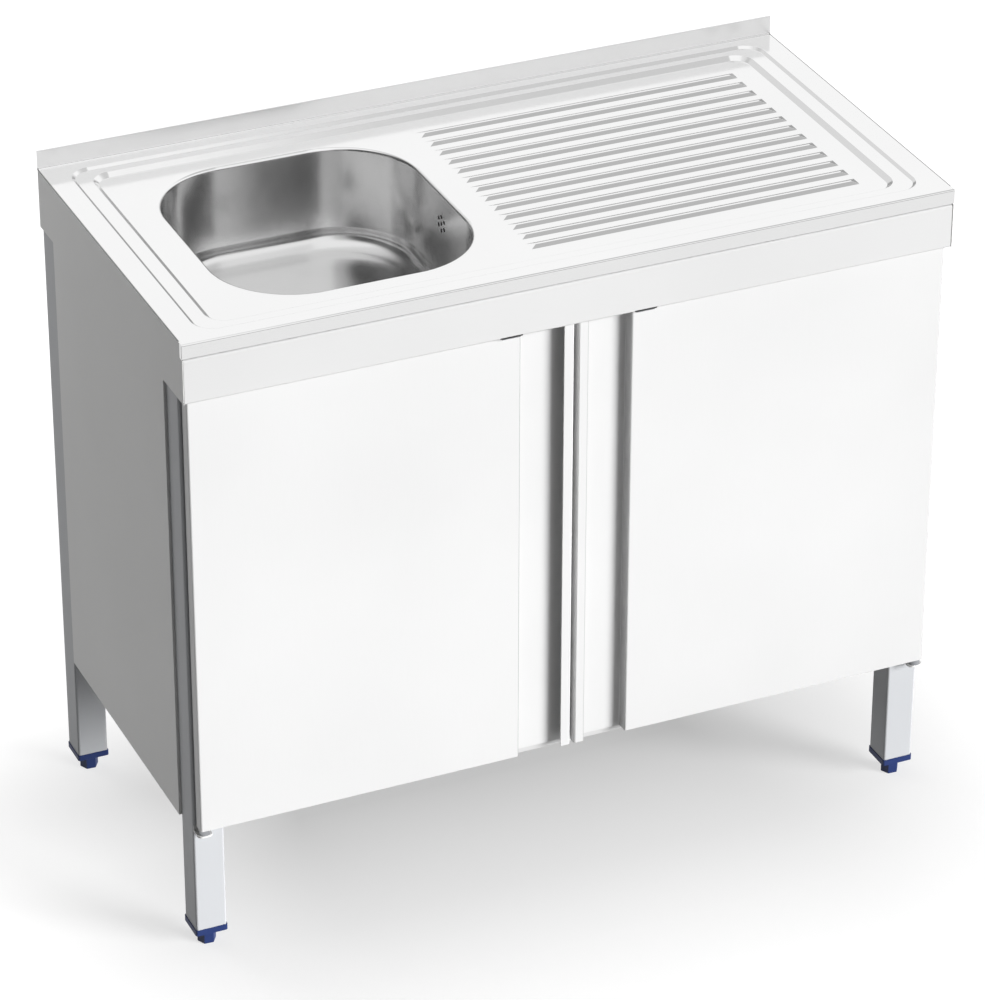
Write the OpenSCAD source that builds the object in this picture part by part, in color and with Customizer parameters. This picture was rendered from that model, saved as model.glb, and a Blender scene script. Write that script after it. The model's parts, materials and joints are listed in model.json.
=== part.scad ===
// Sink cabinet in folded stainless sheet: pressed worktop with one bowl and a ribbed drainer,
// square tube legs on levelling feet, and two pivot-hung doors with hooked grip channels.
// Origin: centre of the footprint on the floor. X runs along the width, Y to the rear, Z up.

/* [Overall] */
// Width of the cabinet
unit_w = 1000; // [940:10:1200]
// Depth of the cabinet
unit_d = 500; // [480:5:600]
// Height of the worktop above the floor
top_h = 860; // [800:5:900]
// Thickness of the folded sheet
sheet = 1; // [0.8:0.1:1.4]
// Centreline radius of the folds in the sheet
fold_r = 2; // [1.6:0.1:2.6]

/* [Worktop border] */
// Height of the rear upstand above the worktop
upstand_h = 25; // [15:1:80]
// Height of the worktop's front drop
drop_h = 20; // [15:1:30]
// Depth of the hem at the foot of the drop
drop_hem = 10; // [6:1:16]
// Length of the tabs that wrap the drop round the corners
drop_wrap = 8; // [5:1:15]
// Width of the flat border at each end
border_side = 30; // [20:1:40]
// Width of the flat border at the front
border_front = 22.5; // [15:0.5:30]
// Width of the flat border at the rear
border_rear = 19.5; // [15:0.5:30]
// Depth of the outer pressed step
step_drop = 3; // [2:0.5:5]
// Width of the outer step's slope
step_run = 4; // [2:0.5:6]
// Corner radius of the outer step
step_r = 28; // [20:1:40]
// Width of the ledge between the steps at each end
ledge_side = 22.6; // [15:0.2:30]
// Width of the ledge between the steps at the front
ledge_front = 19; // [12:0.5:25]
// Width of the ledge between the steps at the rear
ledge_rear = 16; // [12:0.5:25]
// Depth of the inner pressed step
field_drop = 5; // [3:0.5:7]
// Width of the inner step's slope
field_run = 6.5; // [4:0.5:9]
// Corner radius of the inner step
field_r = 26; // [20:1:36]

/* [Bowl] */
// Clear width of the bowl
bowl_w = 328; // [280:2:360]
// Clear depth of the bowl from front to rear
bowl_d = 354; // [320:2:356]
// Corner radius of the bowl
bowl_r = 105; // [80:1:120]
// Distance from the field's left edge to the bowl
bowl_margin = 50.4; // [40:0.2:60]
// Radius of the lip that rolls down into the bowl
lip_r = 4; // [3:0.5:6]
// Height of the bowl's upright wall under the lip
wall_h = 104.5; // [80:0.5:140]
// Radius between the wall and the floor
floor_bend = 26; // [15:1:32]
// Radius of the dished part of the floor
dish_r = 130; // [90:1:135]
// Fall of the dish towards the waste
dish_drop = 4; // [2:0.5:8]
// Radius of the recess that holds the strainer
recess_r = 46; // [42:1:52]
// Depth of that recess
recess_drop = 2.5; // [1.5:0.5:5]
// Depth of the overflow's centre below the field
overflow_depth = 40; // [30:1:60]
// Radius of the overflow holes
overflow_hole_r = 2.75; // [2:0.25:3.5]
// Distance between neighbouring overflow holes
overflow_pitch = 9.4; // [8:0.2:10]

/* [Drainer] */
// Number of ribs
rib_count = 13; // [8:1:14]
// Distance between neighbouring ribs
rib_pitch = 27.8; // [22:0.2:28.4]
// Width of a rib at its foot
rib_w = 15.7; // [10:0.1:18]
// Width of a rib's flat crest
rib_crest = 3; // [1:0.5:5]
// Height of a rib above the field
rib_h = 2.4; // [1.5:0.1:4]
// Length of the sloped end of a rib
rib_hip = 7.5; // [4:0.5:12]
// Distance from the bowl to the ribs
rib_gap_bowl = 40; // [20:1:60]
// Distance from the ribs to the field's right edge
rib_gap_end = 38.4; // [25:0.2:60]
// Place of the middle rib, behind the unit's centreline
rib_y = -1; // [-6:0.5:6]
// Width of a stiffening channel's top under the drainer
stiffener_w = 50; // [30:1:80]
// Height of a stiffening channel
stiffener_h = 24; // [15:1:30]
// Width of a stiffening channel's foot flanges
stiffener_foot = 12; // [8:1:20]
// Distance of each stiffening channel from the middle of the drainer
stiffener_spread = 100; // [60:5:130]

/* [Frame] */
// Width of the square leg tube
leg_w = 40; // [35:1:50]
// Wall of the leg tube
leg_wall = 1.5; // [1:0.1:2.5]
// Outer corner radius of the leg tube
leg_corner = 3; // [2.5:0.5:5]
// Distance of the legs from the cabinet's sides
leg_side_inset = 3; // [2.5:0.5:8]
// Distance of the front legs from the cabinet's front
leg_front_inset = 28; // [26:1:40]
// Distance of the rear legs from the cabinet's rear
leg_rear_inset = 1; // [1:0.5:10]
// Height of the front apron
apron_h = 58; // [40:1:90]
// Gap between the worktop's drop and the apron
apron_gap = 0.6; // [0.4:0.1:2]
// Height of the panels' lower edge above the floor
skirt_z = 178; // [120:1:220]
// Height of the floor panel's folded edges
floor_fold = 25; // [15:1:40]
// Width of the side panels' upright flanges
side_flange = 12; // [8:1:16]
// Width of the side panels' lower flange, which carries the floor panel
floor_ledge = 20; // [16:1:30]
// Open gap between a side panel and the rear leg
side_rear_gap = 7; // [2:0.5:12]
// Depth of the rear rail's flanges
rail_flange = 18; // [12:1:18]
// Width of the back panel's upright flanges
back_flange = 9; // [6:0.5:9]
// Width of the service opening in the back panel
service_w = 240; // [150:5:300]
// Height of the service opening
service_h = 160; // [100:5:220]
// Height of the service opening's centre above the floor
service_z = 560; // [480:5:600]
// Corner radius of the service opening
service_r = 20; // [10:1:40]

/* [Feet] */
// Height of the levelling foot when it is screwed right in
foot_h = 22; // [15:1:40]
// Radius across the corners of the foot's hexagon
foot_hex_r = 12; // [10:0.5:18]
// Turn of the foot's hexagon
foot_turn = -3.5; // [-30:0.5:30]
// Travel of the levelling foot
foot_travel = 25; // [10:1:40]
// Radius of the foot's threaded stem
stem_r = 6; // [4:0.5:7]
// Thickness of the plug's flange under the leg
plug_flange = 8; // [5:1:12]
// How far the plug's flange stands proud of the tube
plug_proud = 1; // [0:0.5:1]
// Length of the plug inside the tube
plug_h = 30; // [20:1:45]
// Wall of the plug round its bore and along the tube
plug_wall = 3; // [2:0.5:5]

/* [Doors] */
// Thickness of a door
door_t = 18; // [16:0.5:20]
// Distance of the doors behind the apron's front
door_setback = 8; // [6:0.5:8]
// Distance of a door's outer edge from the cabinet's side
door_edge = 6; // [5:0.5:10]
// Gap between the two doors
door_gap = 5; // [3:0.5:8]
// Gap between a door's top and the apron
door_top_gap = 2; // [2:0.5:5]
// Height of the doors' lower edge above the floor
door_z = 187; // [184:1:230]
// Clear width of the grip channel in front
grip_open = 56.5; // [40:0.5:80]
// Width of the hooked strip
hook_w = 13.5; // [8:0.5:20]
// Thickness of the sheet folded twice along the hook
hook_t = 1.6; // [1:0.1:2.5]
// Width of the outer skin's rear flange, which carries the back sheet
door_flange = 12; // [8:1:20]

/* [Hinges] */
// Distance of the hinge pin from the door's outer edge
pin_in = 7; // [6:0.5:9]
// Distance of the hinge pin behind the door's front
pin_back = 7; // [6.5:0.5:9]
// Radius of the hinge pins
pin_r = 3; // [2:0.5:4]
// Width of the pivot block inside the door's corner
block_w = 11; // [10:0.5:11.5]
// Height of the pivot block
block_h = 14; // [10:1:25]
// Thickness of a hinge lug
lug_t = 2.5; // [2:0.5:4]
// Width of a hinge lug
lug_w = 19; // [16:1:19]
// Corner radius of a hinge lug's nose
lug_r = 6; // [4:0.5:8]
// Height of a hinge lug's flange on the leg
lug_flange = 9; // [6:1:9]
// Gap between a lug and the door's lower edge
lug_drop = 7.5; // [5:0.5:10]
// Outer radius of a bush in its lug
bush_r = 5; // [4.5:0.5:6]
// Radius of a bush's shoulder
shoulder_r = 6.5; // [6:0.5:8]

/* [Catches] */
// Distance of each catch from the middle of the cabinet
catch_x = 87.5; // [80:0.5:110]
// Width of the slot in the apron's lower edge
slot_w = 29.5; // [20:0.5:40]
// Height of that slot in the apron's face
slot_h = 2; // [1:0.5:4]
// Depth of the magnet housing
catch_d = 13; // [8:1:14]
// Height of the magnet housing
catch_h = 14; // [8:1:25]
// Length of the housing's fixing ear
catch_ear = 10; // [8:1:12]
// Thickness of the strike plate on the door
strike_t = 0.8; // [0.5:0.1:1]
// Width of the strike plate
strike_w = 24; // [15:1:26]
// Radius of the rubber buffers
buffer_r = 5; // [3:0.5:7]
// Distance of each buffer from the middle of the cabinet
buffer_x = 40; // [30:1:120]

/* [Waste and overflow] */
// Outer radius of the waste's outlet
outlet_r = 23.9; // [16:0.1:25]
// Wall of the waste body
waste_wall = 3; // [2:0.5:4]
// Length of the outlet
outlet_l = 25; // [20:1:40]
// Radius of the waste body's chamber
chamber_r = 34; // [32:0.5:37]
// Height of the chamber
chamber_h = 32; // [28:1:45]
// Height of the cone between the chamber and the outlet
cone_h = 14; // [8:1:25]
// Thickness of the rubber seals
seal_t = 2.5; // [1.5:0.5:4]
// Radius of the strainer's cup
cup_r = 29; // [24:0.5:30]
// Depth of the strainer's cup
cup_h = 8; // [5:0.5:12]
// Number of slots in the strainer
cup_slots = 8; // [4:1:8]
// Width of a strainer slot
cup_slot_w = 3.5; // [2:0.5:3.5]
// Radius of the clamping screw
screw_r = 2.5; // [2:0.5:3]
// Radius of the overflow head
head_r = 22; // [18:1:26]
// Depth of the overflow head behind the bowl
head_d = 24; // [22:1:32]
// Radius of the spigots that the hose is pushed on to
spigot_r = 9; // [7:0.5:10]
// Length of those spigots
spigot_l = 16; // [12:1:24]
// Radius of the hose at its ribs
hose_r = 12; // [10.5:0.5:13]
// Radius of the hose between its ribs
hose_root = 10.4; // [9:0.2:10.8]
// Radius of the bend in the hose
hose_bend = 48; // [35:1:55]
// Distance between neighbouring ribs on the hose
hose_pitch = 4; // [3:0.5:6]
// Thickness of the sound pad under the bowl
pad_t = 3; // [2:0.5:5]
// Inner radius of the sound pad
pad_in = 62; // [56:1:80]
// Outer radius of the sound pad
pad_out = 118; // [90:1:125]

/* [Fits] */
// Gap between fixed pieces that are seated on each other
seat_gap = 0.3; // [0.2:0.05:0.4]
// Radial running clearance of pins and screws
run_gap = 0.05; // [0.02:0.01:0.1]
// Gap between a magnet and its strike plate
magnet_gap = 0.6; // [0.4:0.1:1]
// Radius of the blind rivets
rivet_r = 2; // [1.5:0.25:2.5]
// Radius of a rivet or screw head
head_cap_r = 4; // [3:0.25:5]
// Thickness of a rivet or screw head
head_cap_h = 1.6; // [1:0.1:2.5]
// Radius of the catches' screws
catch_screw_r = 1.5; // [1:0.25:2]

/* [Hidden] */
$fn = 48;

steel = [0.86, 0.87, 0.88];
brushed = [0.72, 0.73, 0.74];
blue = [0.12, 0.20, 0.42];
rubber = [0.10, 0.10, 0.11];
plastic = [0.93, 0.93, 0.91];
zinc = [0.62, 0.63, 0.65];

half_w = unit_w / 2;
front = -unit_d / 2;
rear = unit_d / 2;
rim_z = top_h - sheet;
drop_z = top_h - drop_h;
upstand_t = 2 * sheet;
left = -1;
right = 1;

// Outlines of the two pressed steps, each a rectangle with its own centre
ledge_w = unit_w - 2 * border_side;
ledge_d = unit_d - border_front - border_rear;
ledge_y = (border_front - border_rear) / 2;
ledge_z = top_h - step_drop;
field_w = ledge_w - 2 * ledge_side;
field_d = ledge_d - ledge_front - ledge_rear;
field_y = ledge_y + (ledge_front - ledge_rear) / 2;
field_z = ledge_z - field_drop;

// Bowl
bowl_x = -field_w / 2 + bowl_margin + bowl_w / 2;
bowl_y = field_y;
lip_z = field_z - lip_r;
bend_z = lip_z - wall_h;
floor_z = bend_z - floor_bend;
dish_z = floor_z - dish_drop;
recess_z = dish_z - recess_drop;
wall_x = bowl_x + bowl_w / 2 + sheet;
overflow_z = field_z - overflow_depth;
overflow_step = 60;

// Drainer
rib_x0 = bowl_x + bowl_w / 2 + rib_gap_bowl;
rib_x1 = field_w / 2 - rib_gap_end;
rib_l = rib_x1 - rib_x0;
rib_x = (rib_x0 + rib_x1) / 2;
field_under = field_z - sheet;
stiffener_l = field_d - 2 * field_run - 2 * fold_r;

// Legs and feet
leg_x = half_w - leg_side_inset - leg_w / 2;
leg_face = half_w - leg_side_inset - leg_w;
leg_front_y = front + leg_front_inset + leg_w / 2;
leg_rear_y = rear - leg_rear_inset - leg_w / 2;
leg_z = foot_h + plug_flange;
leg_top = ledge_z - sheet - seat_gap;
tube_r = leg_corner - leg_wall;
plug_w = leg_w - 2 * leg_wall - 2 * seat_gap;
stem_top = leg_z + plug_h + foot_travel / 2;
bore_r = stem_r + run_gap;
foot_corners = 6;

// Apron and panels
apron_top = drop_z - apron_gap;
apron_z = drop_z - apron_h;
apron_w = unit_w - 2 * sheet - 2 * seat_gap;
leg_front_face = front + leg_front_inset;
leg_back_face = leg_front_face + leg_w;
rear_leg_face = rear - leg_rear_inset - leg_w;
side_y1 = rear_leg_face - side_rear_gap;
side_notch_y = front + drop_wrap + seat_gap;
floor_top = skirt_z + floor_fold;
floor_half = leg_face - seat_gap;
wing_half = half_w - sheet - floor_ledge + side_flange / 3;
floor_front = leg_front_face + sheet;
back_y = rear - leg_rear_inset - back_flange - sheet;
rear_face = rear - leg_rear_inset;

// Doors, drawn for the left-hand side and mirrored for the right
door_front = front + door_setback;
door_rear = door_front + door_t;
door_out = -half_w + door_edge;
door_in = -door_gap / 2;
door_top = apron_z - door_top_gap;
door_h = door_top - door_z;
hook_x = door_in - hook_w;
grip_x = hook_x - grip_open;
skin_rear = door_rear - sheet;

// Hinges
pin_x = door_out + pin_in;
pin_y = door_front + pin_back;
lug_z = door_z - lug_drop - lug_t;
upper_lug_z = apron_z + sheet;
hole_r = pin_r + run_gap;
bush_hole_r = bush_r + run_gap;
lug_front = door_front + sheet;

// Catches
catch_z = door_top + strike_t + magnet_gap;
catch_y0 = front + sheet + seat_gap;
catch_w = slot_w - 2 * seat_gap;
ear_y = catch_y0 + catch_d + catch_ear / 2;
ear_z = apron_z + sheet;
strike_d = catch_d - 2 * seat_gap;

// Waste and overflow
body_top = recess_z - sheet - seal_t;
chamber_z = body_top - chamber_h;
cone_z = chamber_z - cone_h;
outlet_z = cone_z - outlet_l;
mouth_r = cup_r + 1.5 * sheet;
body_flange_r = recess_r - 2 * waste_wall / 3;
boss_r = 2 * screw_r;
boss_h = 4 * screw_r;
boss_z = body_top - cup_h - boss_h - sheet;
inlet_z = chamber_z + chamber_h / 2;
hose_x = wall_x + seal_t + head_d - spigot_r - waste_wall;
hose_bore = spigot_r + seat_gap;
hose_top = overflow_z - head_r - seat_gap;
hose_end = bowl_x + chamber_r + seat_gap;
hose_sides = 8;
bend_steps = 12;

// Folds sheet of thickness t along a path of square corners, each rounded to radius r, and extrudes it
module folded(path, t, r, length) {
    last = len(path) - 1;
    for (i = [0 : last - 1]) {
        along = (path[i + 1] - path[i]) / norm(path[i + 1] - path[i]);
        start = path[i] + (i == 0 ? 0 : r) * along;
        end = path[i + 1] - (i == last - 1 ? 0 : r) * along;
        off = t / 2 * [-along[1], along[0]];
        linear_extrude(length) polygon([start + off, end + off, end - off, start - off]);
    }
    for (i = [1 : last - 1]) {
        into = (path[i] - path[i - 1]) / norm(path[i] - path[i - 1]);
        away = (path[i + 1] - path[i]) / norm(path[i + 1] - path[i]);
        centre = path[i] + r * (away - into);
        reach = r + t;
        linear_extrude(length) intersection() {
            translate(centre) difference() {
                circle(r + t / 2);
                circle(r - t / 2);
            }
            polygon([centre, centre - reach * away, centre + reach * (into - away), centre + reach * into]);
        }
    }
}

// Rectangle with round corners
module round_rect(w, d, r) {
    square([w - 2 * r, d], center = true);
    square([w, d - 2 * r], center = true);
    for (x = [left, right], y = [left, right]) {
        translate([x * (w / 2 - r), y * (d / 2 - r)]) circle(r);
    }
}

// Carries a section round a rectangle with round corners; its X is the distance from a corner's axis
module sweep_rect(w, d, r) {
    for (x = [left, right]) {
        mirror([x < 0 ? 1 : 0, 0, 0]) {
            for (y = [left, right]) {
                mirror([0, y < 0 ? 1 : 0, 0]) {
                    translate([w / 2 - r, d / 2 - r, 0]) rotate_extrude(angle = 90) children();
                }
            }
            translate([w / 2 - r, d / 2 - r, 0]) rotate([90, 0, 0]) linear_extrude(d - 2 * r) children();
        }
    }
    for (y = [left, right]) {
        mirror([0, y < 0 ? 1 : 0, 0]) {
            translate([-w / 2 + r, d / 2 - r, 0]) rotate([90, 0, 90]) linear_extrude(w - 2 * r) children();
        }
    }
}

// Turns a section drawn in Y and Z and extruded by length so that it lies along X, centred
module along_x(length) {
    rotate([90, 0, 90]) translate([0, 0, -length / 2]) children();
}

// Slope of one pressed step, from radius r at height z down and inwards
module step_section(r, z, drop, run) {
    lap = sheet;
    polygon([
        [r + lap, z], [r, z], [r - run, z - drop], [r - run - lap, z - drop],
        [r - run - lap, z - drop - sheet], [r - run, z - drop - sheet], [r, z - sheet], [r + lap, z - sheet]
    ]);
}

// Body of a drainer rib with hipped ends, from sink below the field to the crest
module rib_form(sink) {
    intersection() {
        along_x(rib_l) linear_extrude(rib_l) polygon([
            [-rib_w / 2, -sink], [-rib_w / 2, 0], [-rib_crest / 2, rib_h],
            [rib_crest / 2, rib_h], [rib_w / 2, 0], [rib_w / 2, -sink]
        ]);
        rotate([90, 0, 0]) translate([0, 0, -rib_w / 2]) linear_extrude(rib_w) polygon([
            [-rib_l / 2, -sink], [-rib_l / 2, 0], [-rib_l / 2 + rib_hip, rib_h],
            [rib_l / 2 - rib_hip, rib_h], [rib_l / 2, 0], [rib_l / 2, -sink]
        ]);
    }
}

// Puts its children at each rib's place on the field
module at_ribs() {
    for (i = [0 : rib_count - 1]) {
        translate([rib_x, rib_y + (i - (rib_count - 1) / 2) * rib_pitch, field_z]) children();
    }
}

module worktop() {
    border_lap = drop_hem;
    color(steel) difference() {
        union() {
            // Flat border, ledge and field
            translate([0, 0, rim_z]) linear_extrude(sheet) difference() {
                square([unit_w, unit_d - 2 * border_lap], center = true);
                translate([0, ledge_y]) round_rect(ledge_w, ledge_d, step_r);
            }
            translate([0, ledge_y, ledge_z - sheet]) linear_extrude(sheet) difference() {
                round_rect(ledge_w - 2 * step_run, ledge_d - 2 * step_run, step_r - step_run);
                translate([0, field_y - ledge_y]) round_rect(field_w, field_d, field_r);
            }
            translate([0, 0, field_under]) linear_extrude(sheet) difference() {
                translate([0, field_y])
                    round_rect(field_w - 2 * field_run, field_d - 2 * field_run, field_r - field_run);
                translate([bowl_x, bowl_y])
                    round_rect(bowl_w + 2 * lip_r, bowl_d + 2 * lip_r, bowl_r + lip_r);
            }
            // Sloped walls of the two steps
            translate([0, ledge_y, 0]) sweep_rect(ledge_w, ledge_d, step_r)
                step_section(step_r, top_h, step_drop, step_run);
            translate([0, field_y, 0]) sweep_rect(field_w, field_d, field_r)
                step_section(field_r, ledge_z, field_drop, field_run);
            // Lip rolled down into the bowl
            translate([bowl_x, bowl_y, 0]) sweep_rect(bowl_w, bowl_d, bowl_r) intersection() {
                translate([bowl_r + lip_r, lip_z]) difference() {
                    circle(lip_r);
                    circle(lip_r - sheet);
                }
                translate([bowl_r, lip_z]) square(lip_r);
            }
            // Front drop with its hem, and the tabs round the corners
            along_x(unit_w) folded([
                [front + border_lap + sheet, top_h - sheet / 2], [front + sheet / 2, top_h - sheet / 2],
                [front + sheet / 2, drop_z + sheet / 2], [front + drop_hem, drop_z + sheet / 2]
            ], sheet, fold_r, unit_w);
            for (x = [left, right]) {
                translate([x * (half_w - sheet / 2) - sheet / 2, front + fold_r, drop_z])
                    cube([sheet, drop_wrap - fold_r, drop_h - sheet / 2]);
            }
            // Upstand, folded back on itself at its top
            along_x(unit_w) {
                folded([
                    [rear - border_lap - sheet, top_h - sheet / 2], [rear - 1.5 * sheet, top_h - sheet / 2],
                    [rear - 1.5 * sheet, top_h + upstand_h - sheet]
                ], sheet, fold_r, unit_w);
                translate([rear - sheet, top_h + upstand_h - sheet]) cylinder(h = unit_w, r = sheet);
                translate([rear - sheet, rim_z]) cube([sheet, upstand_h, unit_w]);
            }
            at_ribs() rib_form(sheet / 2);
        }
        at_ribs() translate([0, 0, -sheet]) rib_form(sheet);
    }
}

module basin() {
    inner_r = bowl_r - floor_bend;
    color(brushed) difference() {
        union() {
            translate([bowl_x, bowl_y, 0]) sweep_rect(bowl_w, bowl_d, bowl_r) {
                translate([bowl_r, bend_z]) square([sheet, wall_h]);
                intersection() {
                    translate([inner_r, bend_z]) difference() {
                        circle(floor_bend + sheet);
                        circle(floor_bend);
                    }
                    translate([inner_r, floor_z - sheet]) square(floor_bend + sheet);
                }
            }
            translate([bowl_x, bowl_y, floor_z - sheet]) linear_extrude(sheet) difference() {
                round_rect(bowl_w - 2 * floor_bend, bowl_d - 2 * floor_bend, inner_r);
                circle(dish_r);
            }
            translate([bowl_x, bowl_y, 0]) rotate_extrude() polygon([
                [mouth_r, recess_z], [recess_r - recess_drop, recess_z],
                [recess_r, dish_z], [dish_r, floor_z], [dish_r, floor_z - sheet], [recess_r, dish_z - sheet],
                [recess_r - recess_drop, recess_z - sheet], [mouth_r, recess_z - sheet]
            ]);
        }
        translate([wall_x - 2 * sheet, bowl_y, overflow_z]) rotate([0, 90, 0]) {
            cylinder(h = 3 * sheet, r = overflow_hole_r);
            for (turn = [0 : overflow_step : 360 - overflow_step]) {
                rotate([0, 0, turn]) translate([overflow_pitch, 0, 0])
                    cylinder(h = 3 * sheet, r = overflow_hole_r);
            }
        }
    }
}

module drainer_stiffeners() {
    hat = stiffener_w / 2;
    foot = hat + stiffener_foot;
    color(brushed) for (x = [left, right]) {
        translate([rib_x + x * stiffener_spread, field_y + stiffener_l / 2, field_under]) rotate([90, 0, 0])
            folded([
                [-foot, -stiffener_h + sheet / 2], [-hat, -stiffener_h + sheet / 2], [-hat, -sheet / 2],
                [hat, -sheet / 2], [hat, -stiffener_h + sheet / 2], [foot, -stiffener_h + sheet / 2]
            ], sheet, fold_r, stiffener_l);
    }
}

module sound_pad() {
    slope = dish_drop / (dish_r - recess_r);
    top_in = dish_z - sheet + (pad_in - recess_r) * slope;
    top_out = dish_z - sheet + (pad_out - recess_r) * slope;
    color(rubber) translate([bowl_x, bowl_y, 0]) rotate_extrude() polygon([
        [pad_in, top_in], [pad_out, top_out], [pad_out, top_out - pad_t], [pad_in, top_in - pad_t]
    ]);
}

module waste_strainer() {
    flange_r = recess_r - recess_drop - seat_gap;
    cup_z = recess_z - cup_h;
    slot_in = boss_r + sheet;
    color(brushed) translate([bowl_x, bowl_y, 0]) difference() {
        rotate_extrude() polygon([
            [0, cup_z], [cup_r, cup_z], [cup_r, recess_z], [flange_r, recess_z], [flange_r, recess_z + sheet],
            [cup_r - sheet, recess_z + sheet], [cup_r - sheet, cup_z + sheet], [0, cup_z + sheet]
        ]);
        translate([0, 0, cup_z - sheet]) {
            cylinder(h = 3 * sheet, r = screw_r + run_gap);
            for (i = [0 : cup_slots - 1]) {
                rotate([0, 0, i * 360 / cup_slots]) translate([slot_in, -cup_slot_w / 2, 0])
                    cube([cup_r - 3 * sheet - slot_in, cup_slot_w, 3 * sheet]);
            }
        }
    }
}

module waste_seal() {
    color(rubber) translate([bowl_x, bowl_y, body_top]) linear_extrude(seal_t) difference() {
        circle(body_flange_r);
        circle(mouth_r);
    }
}

module waste_body() {
    inner_r = chamber_r - waste_wall;
    inner_outlet = outlet_r - waste_wall;
    bar = waste_wall;
    color(plastic) translate([bowl_x, bowl_y, 0]) difference() {
        union() {
            rotate_extrude() polygon([
                [inner_r, body_top], [body_flange_r, body_top], [body_flange_r, body_top - waste_wall],
                [chamber_r, body_top - waste_wall], [chamber_r, chamber_z], [outlet_r, cone_z],
                [outlet_r, outlet_z], [inner_outlet, outlet_z], [inner_outlet, cone_z], [inner_r, chamber_z]
            ]);
            // Cross bars that hold the clamping screw's boss
            translate([0, 0, boss_z]) {
                cylinder(h = boss_h, r = boss_r);
                for (turn = [0, 90]) {
                    rotate([0, 0, turn + 45]) translate([-chamber_r + bar / 2, -bar / 2, 0])
                        cube([2 * chamber_r - bar, bar, boss_h / 2]);
                }
            }
            // Inlet spigot for the overflow hose
            translate([inner_r + bar / 2, 0, inlet_z]) rotate([0, 90, 0])
                cylinder(h = spigot_l + bar / 2, r = spigot_r);
        }
        translate([0, 0, boss_z - sheet]) cylinder(h = boss_h + 2 * sheet, r = screw_r + run_gap);
        translate([inner_r - sheet, 0, inlet_z]) rotate([0, 90, 0])
            cylinder(h = spigot_l + waste_wall + 2 * sheet, r = spigot_r - waste_wall / 2);
    }
}

module waste_screw() {
    seat = recess_z - cup_h + sheet;
    color(zinc) translate([bowl_x, bowl_y, 0]) {
        translate([0, 0, boss_z]) cylinder(h = seat - boss_z, r = screw_r);
        translate([0, 0, seat]) difference() {
            cylinder(h = screw_r, r = boss_r);
            translate([-boss_r, -sheet / 2, screw_r - sheet]) cube([2 * boss_r, sheet, 2 * sheet]);
        }
    }
}

module overflow_seal() {
    color(rubber) translate([wall_x, bowl_y, overflow_z]) rotate([0, 90, 0]) difference() {
        cylinder(h = seal_t, r = head_r);
        translate([0, 0, -sheet]) cylinder(h = seal_t + 2 * sheet, r = head_r - 2 * waste_wall);
    }
}

module overflow_head() {
    start_x = wall_x + seal_t;
    color(plastic) difference() {
        union() {
            translate([start_x, bowl_y, overflow_z]) rotate([0, 90, 0]) cylinder(h = head_d, r = head_r);
            translate([hose_x, bowl_y, hose_top - spigot_l]) cylinder(h = spigot_l + head_r, r = spigot_r);
        }
        translate([start_x - sheet, bowl_y, overflow_z]) rotate([0, 90, 0])
            cylinder(h = head_d - waste_wall + sheet, r = head_r - waste_wall);
        translate([hose_x, bowl_y, hose_top - spigot_l - sheet])
            cylinder(h = spigot_l + head_r, r = spigot_r - waste_wall / 2);
    }
}

// Hose route in X and Z: straight down from the head, one bend, straight in to the waste body
hose_down = hose_top - inlet_z - hose_bend;
hose_in = hose_x - hose_bend - hose_end;
hose_arc = hose_bend * PI / 2;
hose_total = hose_down + hose_arc + hose_in;
hose_plain = 2 * hose_r;
hose_ribs = floor((hose_total - 2 * hose_plain) / hose_pitch);

// Place and heading on the hose's route at distance s from its top
function hose_angle(s) = s < hose_down ? 0 : s > hose_down + hose_arc ? 90 : 90 * (s - hose_down) / hose_arc;
function hose_at(s) =
    s < hose_down ? [hose_x, hose_top - s]
    : s > hose_down + hose_arc ? [hose_x - hose_bend - (s - hose_down - hose_arc), inlet_z]
    : [
        hose_x - hose_bend + hose_bend * cos(hose_angle(s)),
        inlet_z + hose_bend - hose_bend * sin(hose_angle(s))
    ];
// Ring of points round the hose at distance s
function hose_ring(s, r) = [
    for (k = [0 : hose_sides - 1])
        let (a = 360 * k / hose_sides, p = hose_at(s), u = r * cos(a))
        [p[0] + u * cos(hose_angle(s)), bowl_y + r * sin(a), p[1] - u * sin(hose_angle(s))]
];

module overflow_hose() {
    first = (hose_total - hose_ribs * hose_pitch) / 2;
    outside = concat(
        [[0, hose_root], [first, hose_root]],
        [for (i = [0 : hose_ribs - 1]) each [
            [first + (i + 0.5) * hose_pitch, hose_r], [first + (i + 1) * hose_pitch, hose_root]
        ]],
        [[hose_total, hose_root]]
    );
    bend_stops = [for (i = [0 : bend_steps]) hose_down + hose_arc * i / bend_steps];
    bore_stops = concat([0], bend_stops, [hose_total]);
    rings = concat(
        [for (o = outside) hose_ring(o[0], o[1] / cos(180 / hose_sides))],
        [for (i = [len(bore_stops) - 1 : -1 : 0]) hose_ring(bore_stops[i], hose_bore / cos(180 / hose_sides))]
    );
    count = len(rings);
    color(plastic) polyhedron(
        points = [for (ring = rings) each ring],
        faces = [
            for (i = [0 : count - 1], k = [0 : hose_sides - 1])
                let (
                    a = i * hose_sides + k,
                    b = i * hose_sides + (k + 1) % hose_sides,
                    next = ((i + 1) % count) * hose_sides,
                    c = next + (k + 1) % hose_sides,
                    d = next + k
                )
                each [[a, b, c], [a, c, d]]
        ]
    );
}

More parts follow.
